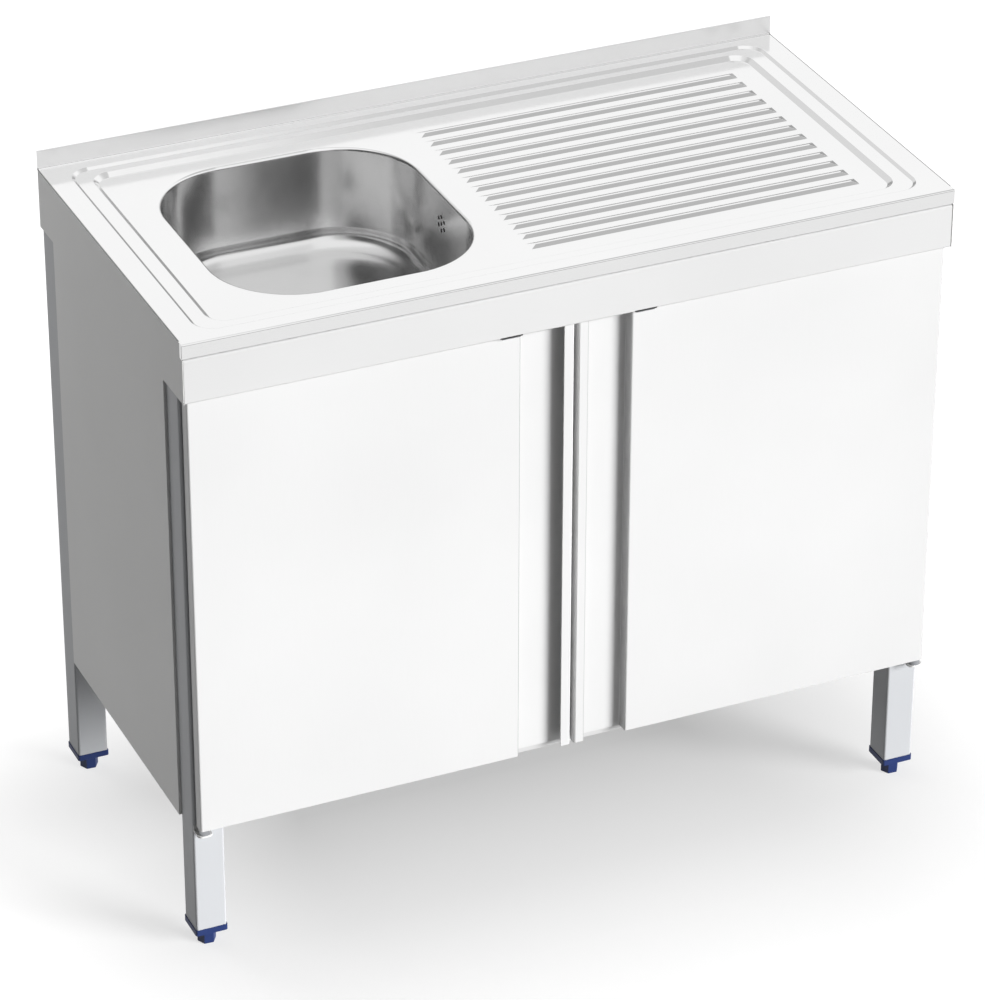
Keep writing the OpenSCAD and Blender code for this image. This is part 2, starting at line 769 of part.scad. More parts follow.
module front_apron() {
    depth = leg_front_inset;
    color(steel) difference() {
        along_x(apron_w) folded([
            [front + depth, apron_top - sheet / 2], [front + sheet / 2, apron_top - sheet / 2],
            [front + sheet / 2, apron_z + sheet / 2], [front + depth, apron_z + sheet / 2]
        ], sheet, fold_r, apron_w);
        for (x = [left, right]) {
            translate([x * catch_x - slot_w / 2, front - sheet, apron_z - sheet])
                cube([slot_w, sheet + seat_gap + sheet + catch_d + seat_gap, slot_h + sheet]);
            translate([x * pin_x, pin_y, apron_z - sheet]) cylinder(h = 3 * sheet, r = bush_hole_r);
            for (ear = [left, right]) {
                translate([x * catch_x + ear * catch_w / 4, ear_y, apron_z - sheet])
                    cylinder(h = 3 * sheet, r = catch_screw_r + run_gap);
            }
        }
    }
}

// Left-hand side panel: full depth beside the apron, narrower between the legs
module side_panel() {
    flange_top = apron_z - fold_r;
    color(steel) {
        translate([-half_w, 0, 0]) rotate([90, 0, 90]) linear_extrude(sheet) polygon([
            [front + seat_gap, apron_z], [front + seat_gap, drop_z - apron_gap],
            [side_notch_y, drop_z - apron_gap], [side_notch_y, rim_z],
            [rear - sheet, rim_z], [rear - sheet, apron_z], [side_y1, apron_z], [side_y1, skirt_z],
            [leg_back_face, skirt_z], [leg_back_face, apron_z]
        ]);
        // Flanges: along the top, at both uprights and along the bottom
        translate([-half_w, side_notch_y, rim_z - sheet])
            cube([floor_ledge, rear - sheet - side_notch_y, sheet]);
        for (y = [leg_back_face, side_y1 - sheet]) {
            translate([-half_w, y, skirt_z]) cube([side_flange, sheet, flange_top - skirt_z]);
        }
        translate([-half_w, leg_back_face, skirt_z]) cube([floor_ledge, side_y1 - leg_back_face, sheet]);
    }
}

module left_side_panel() {
    side_panel();
}

module right_side_panel() {
    mirror([1, 0, 0]) side_panel();
}

module rear_rail() {
    color(steel) along_x(2 * floor_half) folded([
        [rear_face - rail_flange, rim_z - sheet / 2], [rear_face - sheet / 2, rim_z - sheet / 2],
        [rear_face - sheet / 2, apron_z + sheet / 2], [rear_face - rail_flange, apron_z + sheet / 2]
    ], sheet, fold_r, 2 * floor_half);
}

module back_panel() {
    height = apron_z - seat_gap - skirt_z;
    half = leg_face;
    color(steel) difference() {
        translate([0, 0, skirt_z]) folded([
            [-half + sheet / 2, rear_face], [-half + sheet / 2, back_y + sheet / 2],
            [half - sheet / 2, back_y + sheet / 2], [half - sheet / 2, rear_face]
        ], sheet, fold_r, height);
        translate([bowl_x, back_y - sheet, service_z]) rotate([-90, 0, 0]) linear_extrude(3 * sheet)
            round_rect(service_w, service_h, service_r);
    }
}

module floor_panel() {
    wing_y0 = leg_back_face + seat_gap;
    wing_y1 = side_y1 - seat_gap;
    fold_h = floor_fold - sheet;
    color(steel) difference() {
        floor_tray(wing_y0, wing_y1, fold_h);
        at_rivets() translate([0, 0, -sheet]) cylinder(h = 3 * sheet, r = rivet_r + run_gap);
    }
}

// Floor sheet with a wing between the legs on each side
module floor_tray(wing_y0, wing_y1, fold_h) {
    union() {
        translate([-floor_half, floor_front - sheet, floor_top - sheet])
            cube([2 * floor_half, back_y - floor_front + sheet, sheet]);
        translate([-wing_half, wing_y0, floor_top - sheet]) cube([2 * wing_half, wing_y1 - wing_y0, sheet]);
        // Folded edges: front, rear, at the legs and at the wings
        for (y = [floor_front - sheet, back_y - sheet]) {
            translate([-floor_half, y, skirt_z]) cube([2 * floor_half, sheet, floor_fold]);
        }
        for (x = [left, right]) {
            for (span = [[floor_front, leg_back_face], [rear_leg_face, back_y]]) {
                translate([x * (floor_half - sheet / 2) - sheet / 2, span[0], skirt_z + sheet])
                    cube([sheet, span[1] - span[0] - sheet, fold_h]);
            }
            translate([x * (wing_half - sheet / 2) - sheet / 2, wing_y0, skirt_z + sheet])
                cube([sheet, wing_y1 - wing_y0, fold_h]);
        }
    }
}

// Puts its children at each floor rivet, with Z pointing outwards from the fold's inner face
module at_rivets() {
    for (x = [left, right], y = [leg_front_y, (rear_leg_face + back_y) / 2]) {
        translate([x * (floor_half - sheet), y, skirt_z + floor_fold / 2]) rotate([0, x * 90, 0]) children();
    }
}

// Rivets through the floor panel's end folds into the legs
module floor_rivets() {
    color(zinc) at_rivets() {
        cylinder(h = sheet + seat_gap + leg_wall, r = rivet_r);
        translate([0, 0, -head_cap_h]) cylinder(h = head_cap_h, r = head_cap_r);
    }
}

// Puts its children on the axis of one leg
module at_leg(x, y) {
    translate([x * leg_x, y, 0]) children();
}

module leg(x, y) {
    color(steel) difference() {
        at_leg(x, y) translate([0, 0, leg_z]) linear_extrude(leg_top - leg_z) difference() {
            round_rect(leg_w, leg_w, leg_corner);
            round_rect(leg_w - 2 * leg_wall, leg_w - 2 * leg_wall, tube_r);
        }
        at_rivets() cylinder(h = 2 * sheet + leg_wall, r = rivet_r + run_gap);
    }
}

module front_left_leg() {
    leg(left, leg_front_y);
}

module front_right_leg() {
    leg(right, leg_front_y);
}

module rear_left_leg() {
    leg(left, leg_rear_y);
}

module rear_right_leg() {
    leg(right, leg_rear_y);
}

// Plug with its flange under the tube and a hollow, cross-ribbed block inside it
module leg_plug(x, y) {
    pocket = (plug_w - 3 * plug_wall) / 2;
    hub_r = stem_r + plug_wall;
    color(blue) at_leg(x, y) difference() {
        union() {
            translate([0, 0, foot_h]) linear_extrude(plug_flange)
                round_rect(leg_w + 2 * plug_proud, leg_w + 2 * plug_proud, leg_corner);
            translate([0, 0, leg_z]) linear_extrude(plug_h) difference() {
                round_rect(plug_w, plug_w, tube_r);
                for (px = [left, right], py = [left, right]) {
                    translate([px * (pocket + plug_wall) / 2, py * (pocket + plug_wall) / 2])
                        round_rect(pocket, pocket, tube_r);
                }
            }
            translate([0, 0, foot_h]) cylinder(h = plug_flange + plug_h, r = hub_r);
        }
        translate([0, 0, foot_h - sheet]) cylinder(h = plug_flange + plug_h + 2 * sheet, r = bore_r);
    }
}

module front_left_plug() {
    leg_plug(left, leg_front_y);
}

module front_right_plug() {
    leg_plug(right, leg_front_y);
}

module rear_left_plug() {
    leg_plug(left, leg_rear_y);
}

module rear_right_plug() {
    leg_plug(right, leg_rear_y);
}

module levelling_foot(x, y) {
    hex_h = foot_h - seat_gap;
    color(blue) at_leg(x, y) {
        rotate([0, 0, foot_turn]) cylinder(h = hex_h, r = foot_hex_r, $fn = foot_corners);
        cylinder(h = stem_top, r = stem_r);
    }
}

module front_left_foot() {
    levelling_foot(left, leg_front_y);
}

module front_right_foot() {
    levelling_foot(right, leg_front_y);
}

module rear_left_foot() {
    levelling_foot(left, leg_rear_y);
}

module rear_right_foot() {
    levelling_foot(right, leg_rear_y);
}

// Left-hand hinge lug with its flat tab at height z; the flange stands on the leg above the tab
module lug(z) {
    nose = leg_front_face - lug_front;
    color(steel) difference() {
        union() {
            translate([pin_x - lug_w / 2, lug_front + lug_r, z]) cube([lug_w, nose - lug_r, lug_t]);
            translate([pin_x - lug_w / 2 + lug_r, lug_front, z]) cube([lug_w - 2 * lug_r, lug_r, lug_t]);
            for (x = [left, right]) {
                translate([pin_x + x * (lug_w / 2 - lug_r), lug_front + lug_r, z])
                    cylinder(h = lug_t, r = lug_r);
            }
            translate([pin_x - lug_w / 2, leg_front_face - sheet, z]) cube([lug_w, sheet, lug_flange]);
        }
        translate([pin_x, pin_y, z - sheet]) cylinder(h = lug_t + 2 * sheet, r = bush_hole_r);
    }
}

module left_lower_lug() {
    lug(lug_z);
}

module left_upper_lug() {
    lug(upper_lug_z);
}

module right_lower_lug() {
    mirror([1, 0, 0]) lug(lug_z);
}

module right_upper_lug() {
    mirror([1, 0, 0]) lug(upper_lug_z);
}

// Flanged bush on each door's lower pin: its shoulder carries the door
module lower_bushes() {
    shoulder_z = lug_z + lug_t;
    color(plastic) for (x = [left, right]) {
        translate([-x * pin_x, pin_y, 0]) difference() {
            union() {
                translate([0, 0, lug_z]) cylinder(h = lug_t, r = bush_r);
                translate([0, 0, shoulder_z]) cylinder(h = door_z - seat_gap - shoulder_z, r = shoulder_r);
            }
            translate([0, 0, lug_z - sheet]) cylinder(h = door_z - lug_z + sheet, r = hole_r);
        }
    }
}

// Flanged bush on each door's upper pin, through the apron's lower flange and the lug
module upper_bushes() {
    shoulder_z = door_top + seat_gap;
    color(plastic) for (x = [left, right]) {
        translate([-x * pin_x, pin_y, 0]) difference() {
            union() {
                translate([0, 0, shoulder_z]) cylinder(h = apron_z - shoulder_z, r = shoulder_r);
                translate([0, 0, apron_z]) cylinder(h = sheet + lug_t, r = bush_r);
            }
            translate([0, 0, door_top]) cylinder(h = 2 * door_top_gap + lug_t + sheet, r = hole_r);
        }
    }
}

// Left-hand door's outer skin: a pan, then the grip channel with its hooked strip
module door_skin() {
    inset = sheet / 2;
    front_line = door_front + inset;
    rear_line = skin_rear - inset;
    hook_y = door_front + hook_t / 2;
    color(steel) difference() {
        union() {
            translate([0, 0, door_z]) {
                folded([
                    [door_out + door_flange, rear_line], [door_out + inset, rear_line],
                    [door_out + inset, front_line], [grip_x - inset, front_line],
                    [grip_x - inset, rear_line - sheet / 4], [door_in - inset, rear_line - sheet / 4],
                    [door_in - inset, hook_y], [door_in - fold_r - hook_t, hook_y]
                ], sheet, fold_r, door_h);
                translate([hook_x + hook_t / 2, door_front, 0])
                    cube([hook_w - fold_r - hook_t / 2, hook_t, door_h]);
                translate([hook_x + hook_t / 2, hook_y, 0]) cylinder(h = door_h, r = hook_t / 2);
            }
            // Plates that close the pan at its top and bottom
            for (z = [door_z, door_top - sheet]) {
                translate([door_out + inset, front_line, z])
                    cube([grip_x - door_out - sheet, rear_line - front_line, sheet]);
            }
        }
        for (z = [door_z - sheet, door_top - 2 * sheet]) {
            translate([pin_x, pin_y, z]) cylinder(h = 3 * sheet, r = hole_r);
        }
    }
}

module door_back() {
    color(steel) translate([pin_x - pin_r, skin_rear, door_z + sheet])
        cube([door_in - seat_gap - pin_x + pin_r, sheet, door_h - 2 * sheet]);
}

// Pivot blocks inside the pan's corners, each in one piece with its pin
module door_pins() {
    low = door_z + sheet;
    high = door_top - sheet;
    color(zinc) translate([pin_x, pin_y, 0]) {
        for (z = [low, high - block_h]) {
            translate([-block_w / 2, -block_w / 2, z]) cube([block_w, block_w, block_h]);
        }
        translate([0, 0, lug_z]) cylinder(h = low - lug_z + block_h / 2, r = pin_r);
        translate([0, 0, high - block_h / 2])
            cylinder(h = upper_lug_z + lug_t - high + block_h / 2, r = pin_r);
    }
}

module strike_plate() {
    color(zinc) translate([-catch_x - strike_w / 2, catch_y0 + seat_gap, door_top])
        cube([strike_w, strike_d, strike_t]);
}

module left_door_skin() {
    door_skin();
}

module left_door_back() {
    door_back();
}

module left_door_pins() {
    door_pins();
}

module left_strike_plate() {
    strike_plate();
}

module right_door_skin() {
    mirror([1, 0, 0]) door_skin();
}

module right_door_back() {
    mirror([1, 0, 0]) door_back();
}

module right_door_pins() {
    mirror([1, 0, 0]) door_pins();
}

module right_strike_plate() {
    mirror([1, 0, 0]) strike_plate();
}

// Left-hand magnet housing with its fixing ear on the apron's lower flange
module magnet_catch() {
    color(plastic) translate([-catch_x, catch_y0, 0]) difference() {
        union() {
            translate([-catch_w / 2, 0, catch_z]) cube([catch_w, catch_d, catch_h]);
            translate([-catch_w / 2, catch_d - sheet, ear_z]) cube([catch_w, catch_ear + sheet, 2 * sheet]);
        }
        for (ear = [left, right]) {
            translate([ear * catch_w / 4, ear_y - catch_y0, ear_z - sheet])
                cylinder(h = 4 * sheet, r = catch_screw_r + run_gap);
        }
    }
}

module left_catch() {
    magnet_catch();
}

module right_catch() {
    mirror([1, 0, 0]) magnet_catch();
}

module catch_screws() {
    top = ear_z + 2 * sheet;
    color(zinc) for (x = [left, right], ear = [left, right]) {
        translate([x * catch_x + ear * catch_w / 4, ear_y, 0]) {
            translate([0, 0, apron_z]) cylinder(h = top - apron_z, r = catch_screw_r);
            translate([0, 0, top]) cylinder(h = head_cap_h, r = 2 * catch_screw_r);
        }
    }
}

// Rubber discs on the floor panel's front fold, which the doors close against
module door_buffers() {
    face = floor_front - sheet;
    color(rubber) for (x = [left, right]) {
        translate([x * buffer_x, face, (door_z + floor_top) / 2]) rotate([90, 0, 0])
            cylinder(h = face - door_rear - seat_gap, r = buffer_r);
    }
}

worktop();
basin();
drainer_stiffeners();
sound_pad();
waste_strainer();
waste_seal();
waste_body();
waste_screw();
overflow_seal();
overflow_head();
overflow_hose();
front_apron();
left_side_panel();
right_side_panel();
rear_rail();
back_panel();
floor_panel();
floor_rivets();
front_left_leg();
front_right_leg();
rear_left_leg();
rear_right_leg();
front_left_plug();
front_right_plug();
rear_left_plug();
rear_right_plug();
front_left_foot();
front_right_foot();
rear_left_foot();
rear_right_foot();
left_lower_lug();
left_upper_lug();
right_lower_lug();
right_upper_lug();
lower_bushes();
upper_bushes();
left_catch();
right_catch();
catch_screws();
door_buffers();
left_door_skin();
left_door_back();
left_door_pins();
left_strike_plate();
right_door_skin();
right_door_back();
right_door_pins();
right_strike_plate();
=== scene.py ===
import json
import math

import bmesh
import bpy
from mathutils import Matrix, Vector

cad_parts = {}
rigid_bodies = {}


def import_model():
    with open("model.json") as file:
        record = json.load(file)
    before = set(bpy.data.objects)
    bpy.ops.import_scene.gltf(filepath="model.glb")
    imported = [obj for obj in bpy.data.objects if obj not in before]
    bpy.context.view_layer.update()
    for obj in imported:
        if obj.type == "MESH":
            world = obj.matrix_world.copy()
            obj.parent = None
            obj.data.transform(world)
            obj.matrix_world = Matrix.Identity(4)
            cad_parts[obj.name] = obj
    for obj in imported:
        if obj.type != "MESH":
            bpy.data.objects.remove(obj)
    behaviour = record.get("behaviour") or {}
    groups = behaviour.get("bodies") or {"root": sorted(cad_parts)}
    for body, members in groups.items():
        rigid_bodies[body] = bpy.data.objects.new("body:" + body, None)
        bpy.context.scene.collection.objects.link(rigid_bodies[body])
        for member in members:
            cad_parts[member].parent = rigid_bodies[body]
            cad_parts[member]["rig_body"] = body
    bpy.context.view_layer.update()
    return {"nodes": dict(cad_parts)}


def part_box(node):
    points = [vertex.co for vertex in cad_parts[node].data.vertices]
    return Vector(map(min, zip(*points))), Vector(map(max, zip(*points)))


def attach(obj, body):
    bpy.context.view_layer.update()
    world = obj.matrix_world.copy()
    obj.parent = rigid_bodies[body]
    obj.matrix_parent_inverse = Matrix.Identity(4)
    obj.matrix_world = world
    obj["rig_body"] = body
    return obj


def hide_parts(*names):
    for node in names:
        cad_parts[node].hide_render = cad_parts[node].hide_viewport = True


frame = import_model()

nodes = frame["nodes"]
scene = bpy.context.scene
mm = 0.001
print("frame loaded with", len(nodes), "nodes")


# Camera, at the place from which the photograph was taken
cameraSet = {
    "azimuth": 0.417371,      # to the right of straight back
    "elevation": 0.522235,    # looking down
    "roll": 0.001788,
    "place": (-2.117479, -4.771628, 3.414239),
    "focalPixels": 4766.21,
    "longSide": 1000,
    "sensor": 36.0,
    "clip": (0.1, 60),        # nearest and furthest that it sees
}


def makeCamera(s):
    data = bpy.data.cameras.new("photoCamera")
    data.sensor_width = s["sensor"]
    data.lens = s["sensor"] * s["focalPixels"] / s["longSide"]
    data.clip_start, data.clip_end = s["clip"]
    camera = bpy.data.objects.new("photoCamera", data)
    scene.collection.objects.link(camera)
    az, el = s["azimuth"], s["elevation"]
    ahead = Vector((math.sin(az) * math.cos(el), math.cos(az) * math.cos(el), -math.sin(el)))
    level = ahead.cross(Vector((0, 0, 1))).normalized()
    up = level.cross(ahead)
    across = level * math.cos(s["roll"]) + up * math.sin(s["roll"])
    upright = -level * math.sin(s["roll"]) + up * math.cos(s["roll"])
    turn = Matrix((across, upright, -ahead)).transposed()
    camera.matrix_world = Matrix.Translation(s["place"]) @ turn.to_4x4()
    scene.camera = camera


makeCamera(cameraSet)
scene.view_settings.view_transform = "Standard"
print("camera placed")


# Materials. An expression on wrapped sockets adds its Math nodes.
class Sock:
    def __init__(self, paint, out):
        self.paint = paint
        self.out = out

    def math(self, operation, *others):
        return self.paint.add("ShaderNodeMath", {"operation": operation}, self, *others)

    def __add__(self, other):
        return self.math("ADD", other)

    def __mul__(self, other):
        return self.math("MULTIPLY", other)

    def __sub__(self, other):
        return self.math("SUBTRACT", other)

    def __rsub__(self, other):
        return self.paint.add("ShaderNodeMath", {"operation": "SUBTRACT"}, other, self)

    __radd__ = __add__
    __rmul__ = __mul__

    def over(self, low, high):
        # 0 at low, 1 at high, held between them
        return self.paint.add("ShaderNodeMapRange", {"clamp": True}, self, low, high, 0.0, 1.0)


class Paint:
    def __init__(self, name):
        self.material = bpy.data.materials.new(name)
        self.material.use_nodes = True
        self.tree = self.material.node_tree
        self.shader = self.tree.nodes["Principled BSDF"]

    def feed(self, socket, value):
        if isinstance(value, Sock):
            self.tree.links.new(value.out, socket)
        else:
            socket.default_value = value

    def add(self, kind, settings, *values, out=0, **named):
        made = self.tree.nodes.new(kind)
        for key, value in settings.items():
            setattr(made, key, value)
        for index, value in enumerate(values):
            self.feed(made.inputs[index], value)
        for name, value in named.items():
            self.feed(made.inputs[name.replace("_", " ")], value)
        return Sock(self, made.outputs[out])

    def here(self, scale=(1, 1, 1)):
        place = self.add("ShaderNodeTexCoord", {}, out="Object")
        return self.add("ShaderNodeMapping", {}, place, Scale=scale)

    def axes(self):
        split = self.add("ShaderNodeSeparateXYZ", {}, self.here())
        outs = split.out.node.outputs
        return Sock(self, outs[0]), Sock(self, outs[1]), Sock(self, outs[2])

    def noise(self, vector, scale, detail, roughness):
        settings = {"Scale": scale, "Detail": detail, "Roughness": roughness}
        return self.add("ShaderNodeTexNoise", {}, Vector=vector, **settings)

    def mix(self, factor, first, second):
        made = self.add("ShaderNodeMix", {"data_type": "RGBA"}, factor, out=2).out.node
        self.feed(made.inputs[6], first)
        self.feed(made.inputs[7], second)
        return Sock(self, made.outputs[2])

    def set(self, **named):
        for name, value in named.items():
            self.feed(self.shader.inputs[name.replace("_", " ")], value)

    def bump(self, height, strength, distance):
        self.set(Normal=self.add("ShaderNodeBump", {}, Height=height, Strength=strength, Distance=distance))


def colour(r, g, b):
    # A colour read off the screen, 0 to 255, as the shader wants it
    def linear(v):
        v /= 255
        return v / 12.92 if v <= 0.04045 else ((v + 0.055) / 1.055) ** 2.4
    return (linear(r), linear(g), linear(b), 1)


# What shows on the steel. Each noise has a scale, a detail and a roughness.
steelSet = {
    "grain": (900, 3, 0.6),
    "alongGrain": 0.03,         # how slowly the grain changes along its lines
    "clouds": (3.1, 2, 0.5),
    "cloudRange": (0.35, 0.7),
    "cloudDepth": 2.2,          # how much darker the deepest cloud is, times the paint's cloud
    "shares": (0.7, 0.3),       # of the clouds and of the grain in the shade
    "marks": (38, 4, 0.6),      # faint handling marks
    "markRange": (0.45, 0.75),
    "dulled": (0.06, 0.03),     # roughness that the grain and the marks add
    "polish": 0.04,             # taken off, so that the mean roughness is the paint's
    "grainHeight": 0.04 * mm,
}


def steelPaint(name, shade, grain="z", metallic=0.2, rough=0.4, cloud=0.03, relief=0.1,
               upper=None, paintedEdgeShade=None, paintedFoldShade=()):
    # Sheet with a fine grain along x or z, soft clouds in its shade and faint handling marks.
    # From the upper heights on it is duller and a little darker, a painted shade. Its left and right
    # edges can get a painted shade, and its folds painted shade lines: place across the width,
    # width and shade.
    s = steelSet
    p = Paint(name)
    slow = s["alongGrain"]
    stretch = {"x": (slow, 1, 1), "z": (1, 1, slow)}[grain]
    lines = p.noise(p.here(stretch), *s["grain"])
    clouds = p.noise(p.here(), *s["clouds"]).over(*s["cloudRange"])
    marks = p.noise(p.here(), *s["marks"]).over(*s["markRange"])
    darker = tuple(v * (1 - s["cloudDepth"] * cloud) for v in shade[:3]) + (1,)
    base = p.mix(clouds * s["shares"][0] + lines * s["shares"][1], shade, darker)
    dull = lines * s["dulled"][0] + marks * s["dulled"][1] + (rough - s["polish"])
    # Painted shade: a thin dark line along the left and right edges
    if paintedEdgeShade:
        x, y, z = p.axes()
        base = p.mix(x.math("ABSOLUTE").over(*paintedEdgeShade["x"]) * y.over(*paintedEdgeShade["y"]), base, paintedEdgeShade["shade"])
    # Painted shade: dark lines along the folds
    for place, width, foldShade in paintedFoldShade:
        near = (p.axes()[0] - place).math("ABSOLUTE").over(width / 2, width / 3)
        base = p.mix(near, base, foldShade)
    # Painted shade: above the upstand's foot the sheet is a little darker; it is also duller
    if upper:
        above = p.axes()[2].over(*upper["heights"])
        base = p.mix(above, base, upper["shade"])
        dull = dull + above * upper["rougher"]
    p.set(Base_Color=base, Metallic=metallic, Roughness=dull)
    p.bump(lines, relief, s["grainHeight"])
    return p.material


# What shows on the plastic and the rubber
plasticSet = {
    "grain": (1400, 3, 0.6),
    "wear": (60, 3, 0.55),
    "wearRange": (0.5, 0.8),
    "wearShare": 0.35,
    "paler": (1.35, 0.01),      # a worn place's shade: times this, plus this
    "dulled": 0.12,             # roughness that the grain adds
    "polish": 0.05,
    "relief": 0.3,
    "grainHeight": 0.06 * mm,
}


def plasticPaint(name, shade, rough=0.45):
    # Moulded plastic with a fine spark-eroded texture and a slightly worn shade
    s = plasticSet
    p = Paint(name)
    grain = p.noise(p.here(), *s["grain"])
    wear = p.noise(p.here(), *s["wear"]).over(*s["wearRange"])
    times, plus = s["paler"]
    paler = tuple(min(1, v * times + plus) for v in shade[:3]) + (1,)
    dull = grain * s["dulled"] + (rough - s["polish"])
    p.set(Base_Color=p.mix(wear * s["wearShare"], shade, paler), Roughness=dull)
    p.bump(grain, s["relief"], s["grainHeight"])
    return p.material


# Where the painted shade lines along the folds and edges and the duller upstand lie, measured from the
# frame's edges
lineSet = {
    "grip": 70.6 * mm,          # from a door's meeting edge to where its face turns into the channel
    "hook": 13.2 * mm,          # from that meeting edge to the outer edge of the hooked strip
    "doorEnd": 0.5 * mm,        # these three from the outer edge inwards
    "apronEnd": 0.3 * mm,
    "edgeShadeReach": (1.4 * mm, 0.8 * mm),
    "edgeShadeFront": (10 * mm, 11 * mm),     # the front drop gets no painted edge shade
    "upstandFoot": (24.5 * mm, 22.5 * mm),
}
doorIn, doorOut = (corner.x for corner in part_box("right_door_skin"))
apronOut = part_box("front_apron")[1].x
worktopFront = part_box("worktop")[0].y
worktopOut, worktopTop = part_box("worktop")[1].x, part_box("worktop")[1].z
paints = {
    "worktop": steelPaint(
        "worktopSteel", colour(247, 247, 247), "x", metallic=1.0, rough=0.11, cloud=0.012, relief=0.02,
        # The upstand: a little darker, a painted shade, and duller
        upper={"heights": [worktopTop - d for d in lineSet["upstandFoot"]],
               "shade": colour(244, 244, 244), "rougher": 0.2},
        # Painted shade: a thin dark line along the worktop's left and right edges
        paintedEdgeShade={"x": [worktopOut - d for d in lineSet["edgeShadeReach"]],
              "y": [worktopFront + d for d in lineSet["edgeShadeFront"]], "shade": colour(120, 120, 120)}),
    "bowl": steelPaint(
        "bowlSteel", colour(231, 231, 231), "z", metallic=1.0, rough=0.2, cloud=0.015, relief=0.02),
    "door": steelPaint(
        "doorSteel", colour(220, 220, 220), "z", metallic=0.2, rough=0.4,
        # Painted shade lines along the left door's fold, the right door's hooked strip and its outer edge
        paintedFoldShade=((-doorIn - lineSet["grip"], 2.4 * mm, colour(150, 150, 150)),
               (doorIn + lineSet["hook"], 1.6 * mm, colour(170, 170, 170)),
               (doorOut - lineSet["doorEnd"], 2.0 * mm, colour(150, 150, 150)))),
    "apron": steelPaint(
        "apronSteel", colour(212, 212, 212), "x", metallic=0.2, rough=0.4,
        # A painted shade line along the apron's right end
        paintedFoldShade=((apronOut - lineSet["apronEnd"], 1.5 * mm, colour(90, 90, 90)),)),
    "panel": steelPaint("panelSteel", colour(232, 232, 231), "z", metallic=0.12, rough=0.42),
    "inside": steelPaint("insideSteel", colour(210, 210, 210), "x", metallic=0.3, rough=0.42),
    "leg": steelPaint("legSteel", colour(193, 195, 198), "z", metallic=0.06, rough=0.42),
    "blue": plasticPaint("bluePlastic", colour(28, 46, 96)),
    "white": plasticPaint("whitePlastic", colour(226, 226, 220)),
    # The catches are painted dark, a painted shade, so that the slots in the apron's lower edge read dark
    "dark": plasticPaint("catchShadePlastic", colour(52, 52, 51)),
    "rubber": plasticPaint("blackRubber", colour(34, 34, 35), 0.7),
    "zinc": steelPaint("zincFittings", colour(176, 178, 182), "z", metallic=0.8, rough=0.32),
}
paintOf = {
    "worktop": "worktop", "basin": "bowl", "waste_strainer": "bowl", "drainer_stiffeners": "inside",
    "sound_pad": "rubber", "waste_seal": "rubber", "overflow_seal": "rubber", "door_buffers": "rubber",
    "waste_body": "white", "overflow_head": "white", "overflow_hose": "white",
    "lower_bushes": "zinc", "upper_bushes": "zinc", "left_catch": "dark", "right_catch": "dark",
    "waste_screw": "zinc", "floor_rivets": "zinc", "catch_screws": "zinc",
    "front_apron": "apron", "rear_rail": "inside", "back_panel": "inside", "floor_panel": "inside",
}


def paintFor(name):
    if name in paintOf:
        return paintOf[name]
    if name.endswith(("_plug", "_foot")):
        return "blue"
    if name.endswith("_leg"):
        return "leg"
    if name.endswith(("_pins", "_plate")):
        return "zinc"
    return "door" if "door" in name else "panel"


for name, node in nodes.items():
    node.data.materials.clear()
    node.data.materials.append(paints[paintFor(name)])
print("materials made")


# Modelling by hand: what is active, what is selected, and how a piece is finished
def activate(piece):
    if bpy.context.mode != "OBJECT":
        bpy.ops.object.mode_set(mode="OBJECT")
    bpy.ops.object.select_all(action="DESELECT")
    piece.select_set(True)
    bpy.context.view_layer.objects.active = piece


def openMesh(piece, kind="FACE"):
    activate(piece)
    bpy.ops.object.mode_set(mode="EDIT")
    bpy.ops.mesh.select_mode(type=kind)
    bpy.ops.mesh.select_all(action="SELECT")


def pick(piece, kind, wanted):
    # Selects the vertices, edges or faces for which wanted is true
    bpy.ops.mesh.select_mode(type=kind)
    bpy.ops.mesh.select_all(action="DESELECT")
    mesh = bmesh.from_edit_mesh(piece.data)
    parts = {"VERT": mesh.verts, "EDGE": mesh.edges, "FACE": mesh.faces}[kind]
    for part in parts:
        if wanted(part):
            part.select_set(True)
    bmesh.update_edit_mesh(piece.data)


def applied(piece, kind, **settings):
    # Adds one modifier and applies it
    activate(piece)
    modifier = piece.modifiers.new(kind.title(), kind)
    for key, value in settings.items():
        setattr(modifier, key, value)
    bpy.ops.object.modifier_apply(modifier=modifier.name)


def finished(piece, name, paint, body, replaced=(), smooth=35):
    # Places the origin, shades, paints and hangs the piece on its body
    activate(piece)
    bpy.ops.object.transform_apply(location=True, rotation=True, scale=True)
    bpy.ops.object.shade_smooth_by_angle(angle=math.radians(smooth))
    applied(piece, "WEIGHTED_NORMAL", keep_sharp=True)
    piece.name = name
    piece.data.materials.clear()
    piece.data.materials.append(paints[paint])
    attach(piece, body)
    for node in replaced:
        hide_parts(node)


# Sheet and moulded pieces: the frame's shape with pressed creases rounded and cut edges broken
edgeSet = {
    "weld": 0.002 * mm,         # corners nearer than this are one
    "cutEdge": 0.25 * mm,       # radius on a cut edge
    "crease": 0.6 * mm,         # width of a pressed crease
    "creaseFrom": 12,           # degrees
    "creaseTo": 60,
    "cutFrom": 62,
    "flat": 0.6,                # faces that turn less than this are one face
    "creasedNodes": ("worktop",),
    "creaseSteps": 3,
    "cutSteps": 2,
    # The bowl and the hose are made further down, and the pad keeps its shape
    "notDressed": ("basin", "overflow_hose", "sound_pad"),
    "moulded": {                # radii on the moulded pieces
        "_plug": 0.6 * mm, "_catch": 0.5 * mm, "_body": 0.5 * mm, "_head": 0.8 * mm, "_bushes": 0.3 * mm,
    },
}


def turnOf(edge):
    return math.degrees(edge.calc_face_angle(0.0))


